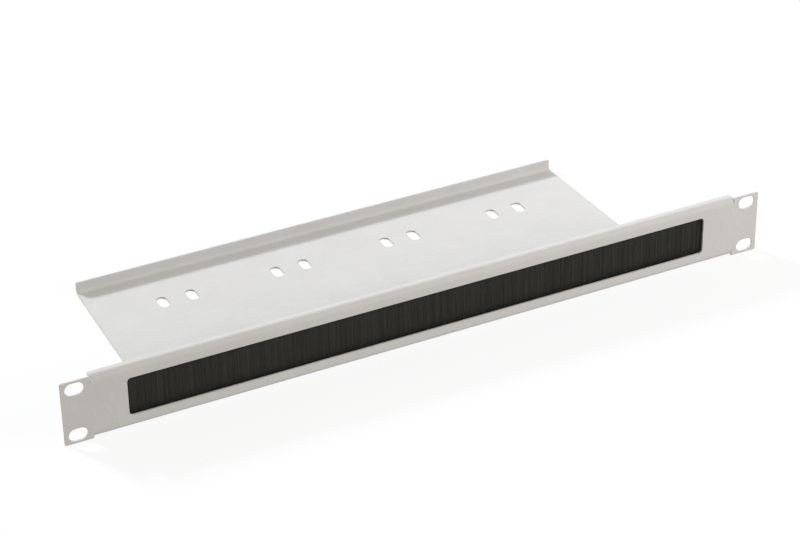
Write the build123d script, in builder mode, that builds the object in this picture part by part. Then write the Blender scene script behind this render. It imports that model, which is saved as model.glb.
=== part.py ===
from build123d import *
import math
import os

# A 19-inch, 1U cable entry panel: one folded steel sheet with a brush behind its window.
# Millimetres. The origin is the centre of the rack slots, on the front face. X runs along
# the panel, Y goes back into the rack and Z is up.

# Folded sheet
sheet = 1.2
bend_inner = 2.8
bend_slit = 0.3
panel_width = 482.6
panel_height = 43.0
ear_width = 18.6
ear_corner_radius = 1.0

# Rack slots in the ears, measured in from the ends and edges to their centres
rack_slot_inset_x = 8.75
rack_slot_inset_z = 5.625
rack_slot_length = 12.0
rack_slot_width = 8.5

# Brush window, measured in from the panel's ends
window_inset = 41.3
window_height = 26.0
window_corner_radius = 2.5

# Flanges, folded back between the ears at the top and at the bottom
flange_depth = 6.0
flange_corner_radius = 1.0

# Cable tray, which goes back from the bottom flange to its lip
tray_front_width = 360.0
tray_taper = 5.0
tray_depth = 159.0
lip_height = 8.5
lip_corner_radius = 1.0

# Cable tie slots, in pairs across the tray
tie_slot_width = 7.0
tie_slot_length = 13.0
tie_pair_count = 4
tie_pair_pitch = 80.0
tie_pair_gap = 20.0
tie_row_depth = 121.0

# Brush rail, a folded channel that is open downwards
rail_end_margin = 5.0
rail_wall = 0.6
rail_width = 5.0
rail_height = 6.5
rail_flange_clearance = 0.3
rail_mouth_gap = 2.6
rail_crimp_height = 2.2

# Bristles, doubled over a core wire in the rail
core_wire_diameter = 1.4
brush_end_overlap = 3.0
brush_clearance = 0.05
brush_tip_thickness = 3.4
brush_overlap = 2.5
tuft_pitch = 2.5
tuft_groove_width = 0.9
tuft_groove_depth = 0.35

# Studs, washers and nuts that hold the rail
stud_diameter = 3.0
stud_brush_distance = 6.0
stud_reach = 2.0
stud_chamfer = 0.4
stud_hole_clearance = 0.3
stud_bend_clearance = 0.2
washer_diameter = 7.0
washer_thickness = 0.5
nut_across_flats = 5.5
nut_thickness = 2.4
nut_chamfer = 0.35
nut_bore_clearance = 0.1

# Sizes that follow from the ones above
bend_outer = bend_inner + sheet
half_height = panel_height / 2
bend_tangent = half_height - bend_outer
rack_slot_spacing_x = panel_width - 2 * rack_slot_inset_x
rack_slot_spacing_z = panel_height - 2 * rack_slot_inset_z
window_length = panel_width - 2 * window_inset
flange_length = panel_width - 2 * ear_width
tray_top = -half_height + sheet
tray_rear_width = tray_front_width - 2 * tray_taper
brush_length = window_length + 2 * brush_end_overlap
stud_spacing = brush_length + 2 * stud_brush_distance
rail_length = stud_spacing + 2 * rail_end_margin
rail_outer_radius = rail_width / 2
rail_inner_radius = rail_outer_radius - rail_wall
rail_top = half_height - sheet - rail_flange_clearance
rail_bottom = rail_top - rail_height
rail_middle_y = sheet + rail_outer_radius
core_z = rail_top - rail_outer_radius
crimp_z = rail_bottom + rail_crimp_height
rail_mouth_half = rail_mouth_gap / 2 + rail_wall
brush_outer_radius = rail_inner_radius - brush_clearance
brush_mouth_thickness = rail_mouth_gap - 2 * brush_clearance
brush_tip_z = -window_height / 2 - brush_overlap
stud_z = bend_tangent - stud_bend_clearance - stud_diameter / 2
washer_seat_y = sheet + rail_width
nut_seat_y = washer_seat_y + washer_thickness
stud_end_y = nut_seat_y + nut_thickness + stud_reach
stud_places = [(-stud_spacing / 2, stud_z), (stud_spacing / 2, stud_z)]
tuft_count = int(brush_length // tuft_pitch) - 1

os.makedirs("parts", exist_ok=True)


def save(builder, name):
    """Label a finished piece and write it to its own file."""
    builder.part.label = name
    export_step(builder.part, "parts/" + name + ".step")


# Panel: front plate, two flanges, tray and lip from one sheet
with BuildPart() as panel:
    with BuildSketch(Plane.XZ):
        RectangleRounded(panel_width, panel_height, ear_corner_radius)
        with GridLocations(1, panel_height - bend_outer, 1, 2):
            Rectangle(flange_length + 2 * bend_slit, bend_outer, mode=Mode.SUBTRACT)
        RectangleRounded(window_length, window_height, window_corner_radius, mode=Mode.SUBTRACT)
        with GridLocations(rack_slot_spacing_x, rack_slot_spacing_z, 2, 2):
            SlotOverall(rack_slot_length, rack_slot_width, mode=Mode.SUBTRACT)
    extrude(amount=-sheet)

    with BuildSketch(Plane.YZ):
        with BuildLine():
            flange_line = FilletPolyline(
                (0, bend_tangent - sheet),
                (0, half_height),
                (flange_depth, half_height),
                radius=bend_outer,
            )
            offset(flange_line, amount=sheet, side=Side.RIGHT)
        make_face()
        mirror(about=Plane.XZ)
    extrude(amount=flange_length / 2, both=True)

    with BuildSketch(Plane.YZ):
        with BuildLine():
            tray_line = FilletPolyline(
                (bend_outer, -half_height),
                (tray_depth, -half_height),
                (tray_depth, -half_height + lip_height),
                radius=bend_outer,
            )
            offset(tray_line, amount=sheet, side=Side.LEFT)
        make_face()
    extrude(amount=tray_front_width / 2, both=True)

    with BuildSketch(Plane.XY.offset(-half_height)):
        with BuildLine():
            Polyline(
                (tray_front_width / 2, flange_depth),
                (tray_rear_width / 2, tray_depth),
                (tray_front_width / 2, tray_depth),
                close=True,
            )
        make_face()
        mirror(about=Plane.YZ)
    extrude(amount=lip_height, mode=Mode.SUBTRACT)

    flange_edges = panel.edges().filter_by(Axis.Z)
    flange_corners = flange_edges.filter_by_position(Axis.Y, flange_depth - sheet / 2, flange_depth + sheet / 2)
    fillet(flange_corners, flange_corner_radius)
    lip_ends = panel.faces().filter_by(Axis.Z).sort_by(Axis.Y)[-1].edges().sort_by(Axis.X)
    fillet([lip_ends[0], lip_ends[-1]], lip_corner_radius)

    with BuildSketch(Plane.XY.offset(tray_top)):
        with Locations((0, tie_row_depth)):
            with GridLocations(tie_pair_pitch, 1, tie_pair_count, 1):
                with GridLocations(tie_pair_gap, 1, 2, 1):
                    SlotOverall(tie_slot_length, tie_slot_width, rotation=90)
    extrude(amount=-sheet, mode=Mode.SUBTRACT)
save(panel, "panel")

# Brush rail: a channel with a round back, crimped in at its mouth
with BuildPart() as brush_rail:
    with BuildSketch(Plane.YZ):
        with BuildLine():
            rail_front_side = Polyline(
                (rail_middle_y - rail_mouth_half, rail_bottom),
                (rail_middle_y - rail_outer_radius, crimp_z),
                (rail_middle_y - rail_outer_radius, core_z),
            )
            rail_back = ThreePointArc(
                rail_front_side @ 1,
                (rail_middle_y, rail_top),
                (rail_middle_y + rail_outer_radius, core_z),
            )
            Polyline(
                rail_back @ 1,
                (rail_middle_y + rail_outer_radius, crimp_z),
                (rail_middle_y + rail_mouth_half, rail_bottom),
            )
            offset(amount=rail_wall, side=Side.RIGHT)
        make_face()
    extrude(amount=rail_length / 2, both=True)
    with BuildSketch(Plane.XZ):
        with Locations(*stud_places):
            Circle((stud_diameter + stud_hole_clearance) / 2)
    extrude(amount=-(sheet + rail_width), mode=Mode.SUBTRACT)
save(brush_rail, "brush_rail")

# Core wire that the bristles are doubled over
with BuildPart() as core_wire:
    with BuildSketch(Plane.YZ):
        with Locations((rail_middle_y, core_z)):
            Circle(core_wire_diameter / 2)
    extrude(amount=brush_length / 2, both=True)
save(core_wire, "core_wire")

# Bristles: a loop around the wire, a neck in the mouth and a curtain of tufts
with BuildPart() as bristles:
    with BuildSketch(Plane.YZ):
        with BuildLine():
            loop_right = Polyline(
                (rail_middle_y, brush_tip_z),
                (rail_middle_y + brush_tip_thickness / 2, brush_tip_z),
                (rail_middle_y + brush_mouth_thickness / 2, rail_bottom),
                (rail_middle_y + brush_outer_radius, crimp_z),
                (rail_middle_y + brush_outer_radius, core_z),
            )
            RadiusArc(loop_right @ 1, (rail_middle_y, core_z + brush_outer_radius), -brush_outer_radius)
            mirror(about=Plane((rail_middle_y, 0, 0), x_dir=(0, 1, 0), z_dir=(1, 0, 0)))
        make_face()
        with Locations((rail_middle_y, core_z)):
            Circle(core_wire_diameter / 2 + brush_clearance, mode=Mode.SUBTRACT)
    extrude(amount=brush_length / 2, both=True)

    groove_floor = brush_mouth_thickness / 2 - tuft_groove_depth
    groove_rim = brush_tip_thickness / 2
    with BuildSketch(Plane.XY.offset(brush_tip_z)):
        with Locations((0, rail_middle_y)):
            with GridLocations(tuft_pitch, 1, tuft_count, 1):
                for side in (-1, 1):
                    Polygon(
                        (-tuft_groove_width / 2, side * groove_rim),
                        (0, side * groove_floor),
                        (tuft_groove_width / 2, side * groove_rim),
                        align=None,
                    )
    extrude(amount=rail_bottom - brush_tip_z, mode=Mode.SUBTRACT)
save(bristles, "bristles")

# Studs welded to the back of the front plate
with BuildPart() as weld_studs:
    with BuildSketch(Plane.XZ.offset(-sheet)):
        with Locations(*stud_places):
            Circle(stud_diameter / 2)
    extrude(amount=-(stud_end_y - sheet))
    chamfer(weld_studs.edges().group_by(Axis.Y)[-1], stud_chamfer)
save(weld_studs, "weld_studs")

# Washers between the rail and the nuts
with BuildPart() as washers:
    with BuildSketch(Plane.XZ.offset(-washer_seat_y)):
        with Locations(*stud_places):
            Circle(washer_diameter / 2)
            Circle((stud_diameter + stud_hole_clearance) / 2, mode=Mode.SUBTRACT)
    extrude(amount=-washer_thickness)
save(washers, "washers")

# Hexagon nuts, their corners turned off by a cone at both faces
with BuildPart() as nuts:
    with BuildSketch(Plane.XZ.offset(-nut_seat_y)):
        with Locations((stud_spacing / 2, stud_z)):
            RegularPolygon(nut_across_flats / 2, 6, major_radius=False)
            Circle((stud_diameter + nut_bore_clearance) / 2, mode=Mode.SUBTRACT)
    extrude(amount=-nut_thickness)
    nut_corner_radius = nut_across_flats / math.sqrt(3)
    with BuildSketch(Plane.XY.offset(stud_z)):
        with BuildLine():
            Polyline(
                (stud_spacing / 2, nut_seat_y),
                (stud_spacing / 2 + nut_across_flats / 2, nut_seat_y),
                (stud_spacing / 2 + nut_corner_radius, nut_seat_y + nut_chamfer),
                (stud_spacing / 2 + nut_corner_radius, nut_seat_y + nut_thickness - nut_chamfer),
                (stud_spacing / 2 + nut_across_flats / 2, nut_seat_y + nut_thickness),
                (stud_spacing / 2, nut_seat_y + nut_thickness),
                close=True,
            )
        make_face()
    revolve(axis=Axis((stud_spacing / 2, 0, stud_z), (0, 1, 0)), mode=Mode.INTERSECT)
    mirror(about=Plane.YZ)
save(nuts, "nuts")
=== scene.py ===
import math

import bpy
import numpy as np
from mathutils import Matrix, Vector


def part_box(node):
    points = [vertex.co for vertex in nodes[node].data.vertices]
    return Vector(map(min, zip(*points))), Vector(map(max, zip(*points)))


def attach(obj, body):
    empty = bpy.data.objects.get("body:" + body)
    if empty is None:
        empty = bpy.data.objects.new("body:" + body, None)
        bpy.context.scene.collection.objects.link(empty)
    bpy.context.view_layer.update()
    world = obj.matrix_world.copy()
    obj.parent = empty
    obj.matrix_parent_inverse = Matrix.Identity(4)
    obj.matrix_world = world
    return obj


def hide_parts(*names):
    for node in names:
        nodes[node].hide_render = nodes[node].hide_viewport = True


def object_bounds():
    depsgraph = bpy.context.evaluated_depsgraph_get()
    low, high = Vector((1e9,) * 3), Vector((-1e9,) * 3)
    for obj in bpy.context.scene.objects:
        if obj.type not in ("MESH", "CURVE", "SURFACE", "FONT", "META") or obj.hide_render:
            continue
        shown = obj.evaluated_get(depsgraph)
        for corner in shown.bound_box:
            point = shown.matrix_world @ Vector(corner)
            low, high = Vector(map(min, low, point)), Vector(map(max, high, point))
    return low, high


# A 19-inch cable entry panel: painted sheet, a black strip brush and its small metal parts.
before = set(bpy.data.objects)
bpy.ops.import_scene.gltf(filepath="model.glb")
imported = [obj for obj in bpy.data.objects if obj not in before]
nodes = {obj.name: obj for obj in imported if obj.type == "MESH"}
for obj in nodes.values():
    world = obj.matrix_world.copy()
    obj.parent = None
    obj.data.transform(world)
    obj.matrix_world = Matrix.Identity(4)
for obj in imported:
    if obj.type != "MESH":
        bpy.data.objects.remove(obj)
cad_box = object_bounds()
rng = np.random.default_rng(19)

MM = 0.001

# Strands: rows of them in each tuft, from its front at -1 to its back at 1
tuft_pitch = 2.5 * MM
strand_layers = (-1.0, -0.93, 0.0, 0.93, 1.0)
strands_per_layer = 12
strand_radius = 0.12 * MM
strand_corners = 3
strand_root_half = 1.15 * MM
strand_tip_inset = 0.25 * MM
# Shares of a strand's length, from the middle of the crimp to the tip, where it may bend
strand_bends = (0.0, 0.3, 0.68, 1.0)
# Shares of the pitch: a tuft's width in the crimp, and what it gains towards the tips
tuft_width = 0.98
tuft_spread = 0.14

# Scatter of the tufts and strands: across in half seats, and pairs are lowest and highest values
tuft_lean = 0.02 * MM
tuft_puff = 0.01
tuft_tone = 0.012
across_scatter = 0.25
layer_scatter = 0.025
strand_drift = 0.04 * MM
strand_bow = 0.035 * MM
strand_tone = 0.04
stray_share = 0.003
stray_drift = 0.6 * MM
tip_scatter = 0.35 * MM
thickness_limits = (0.88, 1.1)
tone_limits = (0.6, 1.5)

# Loop of the brush in its rail
brush_clearance = 0.05 * MM
neck_half = 1.2 * MM
crimp_height = 2.2 * MM
core_tip_inset = 2 * MM
loop_end_inset = 0.1 * MM
arch_steps = 12
# painted shade: the loop inside the rail gets this share of the strands' black, standing in for the
# shade there
loop_painted_shade = 0.5

# Studs
thread_pitch = 0.5 * MM
thread_depth = 0.27 * MM
thread_root_flat = 0.12
thread_flank = 1.4
stud_point = 0.4 * MM
stud_corners = 28
rows_per_turn = 6

# Colours
coat_dark = (0.672, 0.664, 0.646)
coat_light = (0.700, 0.692, 0.674)
strand_black = (0.0385, 0.0375, 0.0318)
aluminium = (0.66, 0.66, 0.67)
steel = (0.50, 0.50, 0.51)
zinc_blue = (0.58, 0.60, 0.62)
paper_white = (0.95, 0.95, 0.95)
floor_bounce = (0.43, 0.405, 0.37)
sky_horizon = (0.445, 0.41, 0.365)
sky_above = (0.475, 0.465, 0.45)

# Photograph: the frame's size in pixels and the camera fitted to it
frame_width_px = 800
frame_height_px = 534
focal_px = 2521.652
centre_x_px = 410.105
centre_y_px = 263.505
camera_right = (0.890871, -0.454058, -0.013415)
camera_down = (-0.242851, -0.451105, -0.858795)
camera_forward = (0.383891, 0.768333, -0.512145)
camera_place = (-0.60327, -1.181132, 0.826325)


# Helpers
def node_adder(tree):
    """A function that adds a node, with its settings and input values, to a node tree."""

    def add(kind, **values):
        node = tree.nodes.new(kind)
        for key, value in values.items():
            if key in node.inputs:
                node.inputs[key].default_value = value
            else:
                setattr(node, key, value)
        return node

    return add


def new_material(name):
    """An empty node material, its link and add functions and its output node."""
    material = bpy.data.materials.new(name)
    material.use_nodes = True
    tree = material.node_tree
    tree.nodes.clear()
    add = node_adder(tree)
    return material, tree.links.new, add, add("ShaderNodeOutputMaterial")


def two_tones(add, low, high, start, end):
    """A ramp from the colour low at start to the colour high at end."""
    ramp = add("ShaderNodeValToRGB")
    first, last = ramp.color_ramp.elements
    first.position = start
    first.color = (*low, 1)
    last.position = end
    last.color = (*high, 1)
    return ramp


def mesh_object(name, vertices, faces, tint=None, smooth=0):
    """A mesh object; its vertices may have colours, and its first smooth faces are shaded round."""
    mesh = bpy.data.meshes.new(name)
    mesh.from_pydata(np.asarray(vertices).tolist(), [], faces)
    if tint is not None:
        colour = mesh.color_attributes.new("tint", "FLOAT_COLOR", "POINT")
        values = np.ones((len(vertices), 4), np.float32)
        values[:, :3] = tint
        colour.data.foreach_set("color", values.ravel())
    mesh.polygons.foreach_set("use_smooth", [i < smooth for i in range(len(faces))])
    mesh.update()
    thing = bpy.data.objects.new(name, mesh)
    bpy.context.scene.collection.objects.link(thing)
    return thing


def shifted(faces, count):
    """The same faces, for vertices that come after count others."""
    return [[i + count for i in face] for face in faces]


def dress(thing, material):
    """Gives an object one material in every slot."""
    if not thing.data.materials:
        thing.data.materials.append(material)
    for i in range(len(thing.data.materials)):
        thing.data.materials[i] = material


# Materials
def powder_coat():
    """Light grey powder coat: a fine orange peel, a slight mottle and softened edges."""
    material, link, add, output = new_material("light_grey_powder_coat")
    shader = add("ShaderNodeBsdfPrincipled", Roughness=0.44)
    shader.inputs["Specular IOR Level"].default_value = 0.4
    place = add("ShaderNodeTexCoord")
    mottle = add("ShaderNodeTexNoise", Scale=38.0, Detail=3.0, Roughness=0.55)
    tones = two_tones(add, coat_dark, coat_light, start=0.3, end=0.7)
    peel = add("ShaderNodeTexNoise", Scale=900.0, Detail=2.0, Roughness=0.5)
    waves = add("ShaderNodeTexNoise", Scale=210.0, Detail=1.0, Roughness=0.4)
    peel_share = 0.45
    both = add("ShaderNodeMath", operation="MULTIPLY_ADD")
    both.inputs[1].default_value = peel_share
    edges = add("ShaderNodeBevel", samples=4, Radius=0.35 * MM)
    bump = add("ShaderNodeBump", Strength=0.7, Distance=0.25 * MM)
    for texture in (mottle, peel, waves):
        link(place.outputs["Object"], texture.inputs["Vector"])
    link(mottle.outputs["Fac"], tones.inputs["Fac"])
    link(tones.outputs["Color"], shader.inputs["Base Color"])
    link(peel.outputs["Fac"], both.inputs[0])
    link(waves.outputs["Fac"], both.inputs[2])
    link(both.outputs["Value"], bump.inputs["Height"])
    link(edges.outputs["Normal"], bump.inputs["Normal"])
    link(bump.outputs["Normal"], shader.inputs["Normal"])
    link(shader.outputs["BSDF"], output.inputs["Surface"])
    return material


def filament():
    """Black polymer filament; each strand carries its own tint, and the loop in the rail a tint darkened
    by painted shade.
    """
    material, link, add, output = new_material("black_filament")
    shader = add("ShaderNodeBsdfPrincipled", Roughness=0.62)
    shader.inputs["Specular IOR Level"].default_value = 0.3
    tint = add("ShaderNodeVertexColor", layer_name="tint")
    link(tint.outputs["Color"], shader.inputs["Base Color"])
    link(shader.outputs["BSDF"], output.inputs["Surface"])
    return material


def worked_metal(name, colour, roughness, line_scale, line_strength):
    """Metal with a slight cloud, and lines along the axis whose scale is low, or an even grain."""
    cloud_shade = 0.86
    smoother = 0.07
    rougher = 0.1
    material, link, add, output = new_material(name)
    shader = add("ShaderNodeBsdfPrincipled", Metallic=1.0)
    place = add("ShaderNodeTexCoord")
    stretch = add("ShaderNodeMapping", Scale=line_scale)
    lines = add("ShaderNodeTexNoise", Scale=1.0, Detail=4.0, Roughness=0.6)
    cloud = add("ShaderNodeTexNoise", Scale=160.0, Detail=3.0, Roughness=0.6)
    tones = two_tones(add, [cloud_shade * c for c in colour], colour, start=0.3, end=0.72)
    rough = add("ShaderNodeMapRange")
    rough.inputs["To Min"].default_value = roughness - smoother
    rough.inputs["To Max"].default_value = roughness + rougher
    edges = add("ShaderNodeBevel", samples=4, Radius=0.12 * MM)
    bump = add("ShaderNodeBump", Strength=line_strength, Distance=0.03 * MM)
    link(place.outputs["Object"], stretch.inputs["Vector"])
    link(stretch.outputs["Vector"], lines.inputs["Vector"])
    link(place.outputs["Object"], cloud.inputs["Vector"])
    link(cloud.outputs["Fac"], tones.inputs["Fac"])
    link(tones.outputs["Color"], shader.inputs["Base Color"])
    link(lines.outputs["Fac"], rough.inputs["Value"])
    link(rough.outputs["Result"], shader.inputs["Roughness"])
    link(lines.outputs["Fac"], bump.inputs["Height"])
    link(edges.outputs["Normal"], bump.inputs["Normal"])
    link(bump.outputs["Normal"], shader.inputs["Normal"])
    link(shader.outputs["BSDF"], output.inputs["Surface"])
    return material


paint = powder_coat()
black = filament()
rolled = worked_metal(
    "rolled_aluminium", aluminium, roughness=0.36, line_scale=(60.0, 4000.0, 4000.0), line_strength=0.22
)
drawn = worked_metal(
    "drawn_wire", steel, roughness=0.3, line_scale=(80.0, 5000.0, 5000.0), line_strength=0.15
)
zinc = worked_metal(
    "zinc_plate", zinc_blue, roughness=0.3, line_scale=(1500.0, 1500.0, 1500.0), line_strength=0.12
)

dress(nodes["panel"], paint)
dress(nodes["brush_rail"], rolled)
dress(nodes["core_wire"], drawn)
dress(nodes["washers"], zinc)
dress(nodes["nuts"], zinc)


# Bristles: strands in tufts that leave the rail's mouth and end at the tips
def strand_lines():
    """Each strand's points from crimp to tip, its radius, the turn of its section and its tone."""
    low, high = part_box("bristles")
    mouth_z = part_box("brush_rail")[0].z
    middle_y = (low.y + high.y) / 2
    tufts = round((high.x - low.x) / tuft_pitch)
    pitch = (high.x - low.x) / tufts
    per_tuft = len(strand_layers) * strands_per_layer
    total = tufts * per_tuft

    def per_strand(tuft_values):
        return np.repeat(tuft_values, per_tuft)

    centre = per_strand(low.x + (np.arange(tufts) + 0.5) * pitch)
    lean = per_strand(rng.normal(0, tuft_lean, tufts))
    puff = per_strand(rng.normal(1.0, tuft_puff, tufts))
    tone = per_strand(rng.normal(1.0, tuft_tone, tufts))

    layer = np.tile(np.repeat(np.arange(len(strand_layers)), strands_per_layer), tufts)
    seat = np.tile(np.arange(strands_per_layer), tufts * len(strand_layers))
    # every other layer sits half a seat further along, and across runs from -1 to 1
    across = (seat + 0.25 + 0.5 * (layer % 2)) / strands_per_layer * 2 - 1
    across = across + rng.normal(0, across_scatter, total) / strands_per_layer
    depth = np.array(strand_layers)[layer] + rng.normal(0, layer_scatter, total)

    stray = rng.random(total) < stray_share
    drift = rng.normal(0, strand_drift, total) + np.where(stray, rng.normal(0, stray_drift, total), 0)
    bow = rng.normal(0, strand_bow, total)
    tip_half = (high.y - low.y) / 2 - strand_tip_inset
    tip_z = low.z + rng.uniform(0, tip_scatter, total)
    top_z = mouth_z + crimp_height / 2
    radius = strand_radius * rng.uniform(*thickness_limits, total)
    turn = rng.uniform(0, 2 * math.pi, total)
    tone = np.clip(tone * rng.normal(1.0, strand_tone, total), *tone_limits)

    points = np.zeros((total, len(strand_bends), 3))
    for bend, t in enumerate(strand_bends):
        x = centre + across * (tuft_width + tuft_spread * t) * pitch / 2
        x = x + lean * t + drift * t * t + bow * math.sin(math.pi * t)
        y = middle_y + depth * (strand_root_half + (tip_half * puff - strand_root_half) * t)
        points[:, bend, 0] = np.clip(x, low.x + strand_radius, high.x - strand_radius)
        points[:, bend, 1] = np.clip(y, low.y + strand_radius, high.y - strand_radius)
        points[:, bend, 2] = top_z + (tip_z - top_z) * t
    return points, radius, turn, tone


def tubes(points, radius, turn, corners):
    """A tube along each row of points: the vertices, the faces round it and those of its ends."""
    total, rings = points.shape[:2]
    vertices = np.repeat(points[:, :, None, :], corners, axis=2)
    for corner in range(corners):
        angle = turn + corner * 2 * math.pi / corners
        vertices[:, :, corner, 0] += (radius * np.cos(angle))[:, None]
        vertices[:, :, corner, 1] += (radius * np.sin(angle))[:, None]

    start = np.arange(total)[:, None] * rings * corners
    sides = []
    for ring in range(rings - 1):
        for corner in range(corners):
            a = ring * corners + corner
            b = ring * corners + (corner + 1) % corners
            sides.append(start + np.array([a, a + corners, b + corners, b]))
    first = np.arange(corners)
    last = rings * corners - 1 - first
    ends = [start + first, start + last]
    return vertices.reshape(-1, 3), np.concatenate(sides).tolist(), np.concatenate(ends).tolist()


def loop_mesh():
    """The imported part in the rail: the loop over the wire, the neck and a core between the rows."""
    low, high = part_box("bristles")
    wire_low, wire_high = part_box("core_wire")
    mouth_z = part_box("brush_rail")[0].z
    middle_y = (low.y + high.y) / 2
    wire_z = (wire_low.z + wire_high.z) / 2
    outer = high.z - wire_z
    inner = (wire_high.z - wire_low.z) / 2 + brush_clearance
    core_half = neck_half / 2
    core_z = low.z + core_tip_inset

    arch = [math.pi * i / arch_steps for i in range(arch_steps + 1)]
    outline = [(middle_y + outer * math.cos(a), wire_z + outer * math.sin(a)) for a in arch]
    outline += [(middle_y - outer, mouth_z + crimp_height), (middle_y - neck_half, mouth_z)]
    outline += [(middle_y - core_half, core_z), (middle_y + core_half, core_z)]
    outline += [(middle_y + neck_half, mouth_z), (middle_y + outer, mouth_z + crimp_height)]
    circle = [math.pi * i / arch_steps for i in range(2 * arch_steps)]
    hole = [(middle_y + inner * math.cos(a), wire_z + inner * math.sin(a)) for a in circle]

    curve = bpy.data.curves.new("loop_profile", "CURVE")
    curve.dimensions = "2D"
    curve.fill_mode = "BOTH"
    curve.extrude = (high.x - low.x) / 2 - loop_end_inset
    for points in (outline, hole):
        spline = curve.splines.new("POLY")
        spline.points.add(len(points) - 1)
        for point, (y, z) in zip(spline.points, points):
            point.co = (y, z, 0, 1)
        spline.use_cyclic_u = True
    holder = bpy.data.objects.new("loop_profile", curve)
    mesh = bpy.data.meshes.new_from_object(holder)
    bpy.data.objects.remove(holder)
    # the profile's x, y and depth become y, z and x
    vertices = [(v.co.z, v.co.x, v.co.y) for v in mesh.vertices]
    faces = [list(p.vertices) for p in mesh.polygons]
    bpy.data.meshes.remove(mesh)
    return vertices, faces


strand_points, strand_radii, strand_turns, strand_tones = strand_lines()
strand_vertices, side_faces, end_faces = tubes(strand_points, strand_radii, strand_turns, strand_corners)
per_strand_vertices = len(strand_bends) * strand_corners
strand_tint = np.repeat(np.array(strand_black) * strand_tones[:, None], per_strand_vertices, axis=0)
loop_vertices, loop_faces = loop_mesh()
# the loop's tint is the strands' black with painted shade for the inside of the rail
loop_painted_shade_tint = np.tile(loop_painted_shade * np.array(strand_black), (len(loop_vertices), 1))
bristles = mesh_object(
    "bristle_strands",
    np.concatenate([strand_vertices, loop_vertices]),
    side_faces + end_faces + shifted(loop_faces, len(strand_vertices)),
    tint=np.concatenate([strand_tint, loop_painted_shade_tint]),
    smooth=len(side_faces),
)
dress(bristles, black)
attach(bristles, "root")
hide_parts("bristles")


# Studs, with their threads
def threaded_stud(x, z, y_start, y_end, crest):
    """A stud along y with a helical thread and a coned end."""
    root = crest - thread_depth
    around = stud_corners
    rows = int((y_end - y_start) / thread_pitch * rows_per_turn)
    vertices = []
    for row in range(rows + 1):
        y = y_start + (y_end - y_start) * row / rows
        for k in range(around):
            angle = 2 * math.pi * k / around
            phase = ((y - y_start) / thread_pitch - k / around) % 1.0
            wave = 1 - abs(2 * phase - 1)
            rise = min(1.0, max(0.0, (wave - thread_root_flat) * thread_flank))
            radius = min(root + thread_depth * rise, crest - max(0.0, y - (y_end - stud_point)))
            vertices.append((x + radius * math.cos(angle), y, z + radius * math.sin(angle)))
    faces = []
    for row in range(rows):
        for k in range(around):
            a = row * around + k
            b = row * around + (k + 1) % around
            faces.append([a, a + around, b + around, b])
    faces.append([rows * around + around - 1 - k for k in range(around)])
    faces.append(list(range(around)))
    return vertices, faces


stud_low, stud_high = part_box("weld_studs")
stud_radius = (stud_high.z - stud_low.z) / 2
stud_vertices = []
stud_faces = []
for x in (stud_low.x + stud_radius, stud_high.x - stud_radius):
    vertices, faces = threaded_stud(x, stud_low.z + stud_radius, stud_low.y, stud_high.y, stud_radius)
    stud_faces += shifted(faces, len(stud_vertices))
    stud_vertices += vertices
studs = mesh_object("threaded_studs", stud_vertices, stud_faces)
dress(studs, zinc)
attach(studs, "root")
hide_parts("weld_studs")


# Floor and world: white to the camera and in reflections, softer in the light they give back
def seen_directly(link, add, kinds):
    """One where a ray is of one of the kinds, and nought elsewhere."""
    path = add("ShaderNodeLightPath")
    answer = path.outputs[kinds[0]]
    for kind in kinds[1:]:
        either = add("ShaderNodeMath", operation="MAXIMUM")
        link(answer, either.inputs[0])
        link(path.outputs[kind], either.inputs[1])
        answer = either.outputs["Value"]
    return answer


def white_floor():
    """Nearly all glow where it is seen, with paper for a faint shadow, and a warm even bounce."""
    material, link, add, output = new_material("white_floor")
    paper = add("ShaderNodeBsdfDiffuse", Color=(*paper_white, 1))
    glow = add("ShaderNodeEmission", Strength=1.0)
    seen = add("ShaderNodeMixShader", Fac=0.86)
    bounce = add("ShaderNodeEmission", Color=(*floor_bounce, 1), Strength=1.0)
    pick = add("ShaderNodeMixShader")
    link(paper.outputs["BSDF"], seen.inputs[1])
    link(glow.outputs["Emission"], seen.inputs[2])
    link(seen_directly(link, add, ("Is Camera Ray", "Is Glossy Ray")), pick.inputs["Fac"])
    link(bounce.outputs["Emission"], pick.inputs[1])
    link(seen.outputs["Shader"], pick.inputs[2])
    link(pick.outputs["Shader"], output.inputs["Surface"])
    return material


def studio_world():
    """A sky that is warm at the horizon and neutral above, and white where it is seen."""
    world = bpy.data.worlds.new("studio")
    world.use_nodes = True
    tree = world.node_tree
    tree.nodes.clear()
    link = tree.links.new
    add = node_adder(tree)
    place = add("ShaderNodeTexCoord")
    split = add("ShaderNodeSeparateXYZ")
    tones = two_tones(add, sky_horizon, sky_above, start=0.0, end=0.8)
    lit = add("ShaderNodeBackground")
    white = add("ShaderNodeBackground", Color=(1, 1, 1, 1))
    pick = add("ShaderNodeMixShader")
    output = add("ShaderNodeOutputWorld")
    link(place.outputs["Generated"], split.inputs["Vector"])
    link(split.outputs["Z"], tones.inputs["Fac"])
    link(tones.outputs["Color"], lit.inputs["Color"])
    kinds = ("Is Camera Ray", "Is Glossy Ray", "Is Transmission Ray")
    link(seen_directly(link, add, kinds), pick.inputs["Fac"])
    link(lit.outputs["Background"], pick.inputs[1])
    link(white.outputs["Background"], pick.inputs[2])
    link(pick.outputs["Shader"], output.inputs["Surface"])
    return world


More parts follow.
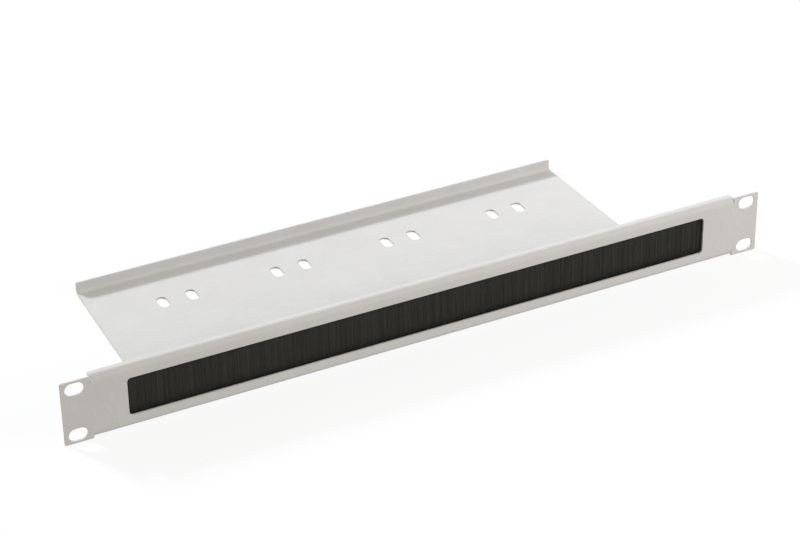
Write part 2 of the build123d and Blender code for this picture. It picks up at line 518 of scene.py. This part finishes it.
floor_z = cad_box[0][2]
floor_half = 6.0
corner_signs = [(-1, -1), (1, -1), (1, 1), (-1, 1)]
floor_corners = [(floor_half * i, floor_half * j, floor_z) for i, j in corner_signs]
floor = mesh_object("floor", floor_corners, [[0, 1, 2, 3]])
dress(floor, white_floor())
bpy.context.scene.world = studio_world()


# Lamps: gloss doesn't show them, and comes from the white surroundings alone
def lamp(name, kind, place, target, energy, colour, **values):
    """A light at place, in metres, that looks at target."""
    data = bpy.data.lights.new(name, kind)
    data.energy = energy
    data.color = colour
    for key, value in values.items():
        setattr(data, key, value)
    thing = bpy.data.objects.new(name, data)
    thing.location = place
    aim = Vector(target) - Vector(place)
    thing.rotation_euler = aim.to_track_quat("-Z", "Y").to_euler()
    thing.visible_glossy = False
    bpy.context.scene.collection.objects.link(thing)


# The key stands behind and to the left, so the lip throws its shadow forward on the tray.
lamp(
    "key",
    "SUN",
    place=(-0.749, 1.557, 1.007),
    target=(0, 0, 0),
    energy=2.92,
    colour=(0.875, 0.925, 1.0),
    angle=math.radians(9),
)
# The fill lights the front plate from the right.
lamp(
    "fill",
    "AREA",
    place=(1.0, -0.92, 0.66),
    target=(0.1, 0, 0),
    energy=12.0,
    colour=(0.96, 0.945, 0.97),
    shape="RECTANGLE",
    size=0.9,
    size_y=0.6,
)
# The side lamp lights the right half of the tray.
lamp(
    "side",
    "AREA",
    place=(0.5, 0.85, 0.52),
    target=(0.1, 0.1, 0),
    energy=0.8,
    colour=(0.98, 0.99, 1.0),
    shape="RECTANGLE",
    size=0.3,
    size_y=0.2,
)


# Camera
def photo_camera():
    """The camera that stands where the photograph's did."""
    data = bpy.data.cameras.new("camera")
    data.sensor_width = 36.0
    data.lens = focal_px / frame_width_px * data.sensor_width
    data.shift_x = (frame_width_px / 2 - centre_x_px) / frame_width_px
    data.shift_y = (centre_y_px - frame_height_px / 2) / frame_width_px
    data.clip_start = 0.01
    data.clip_end = 50.0
    up = [-v for v in camera_down]
    back = [-v for v in camera_forward]
    turn = Matrix((camera_right, up, back)).transposed().to_4x4()
    turn.translation = camera_place
    camera = bpy.data.objects.new("camera", data)
    camera.matrix_world = turn
    bpy.context.scene.collection.objects.link(camera)
    return camera


bpy.context.scene.camera = photo_camera()
bpy.context.scene.view_settings.view_transform = "Standard"
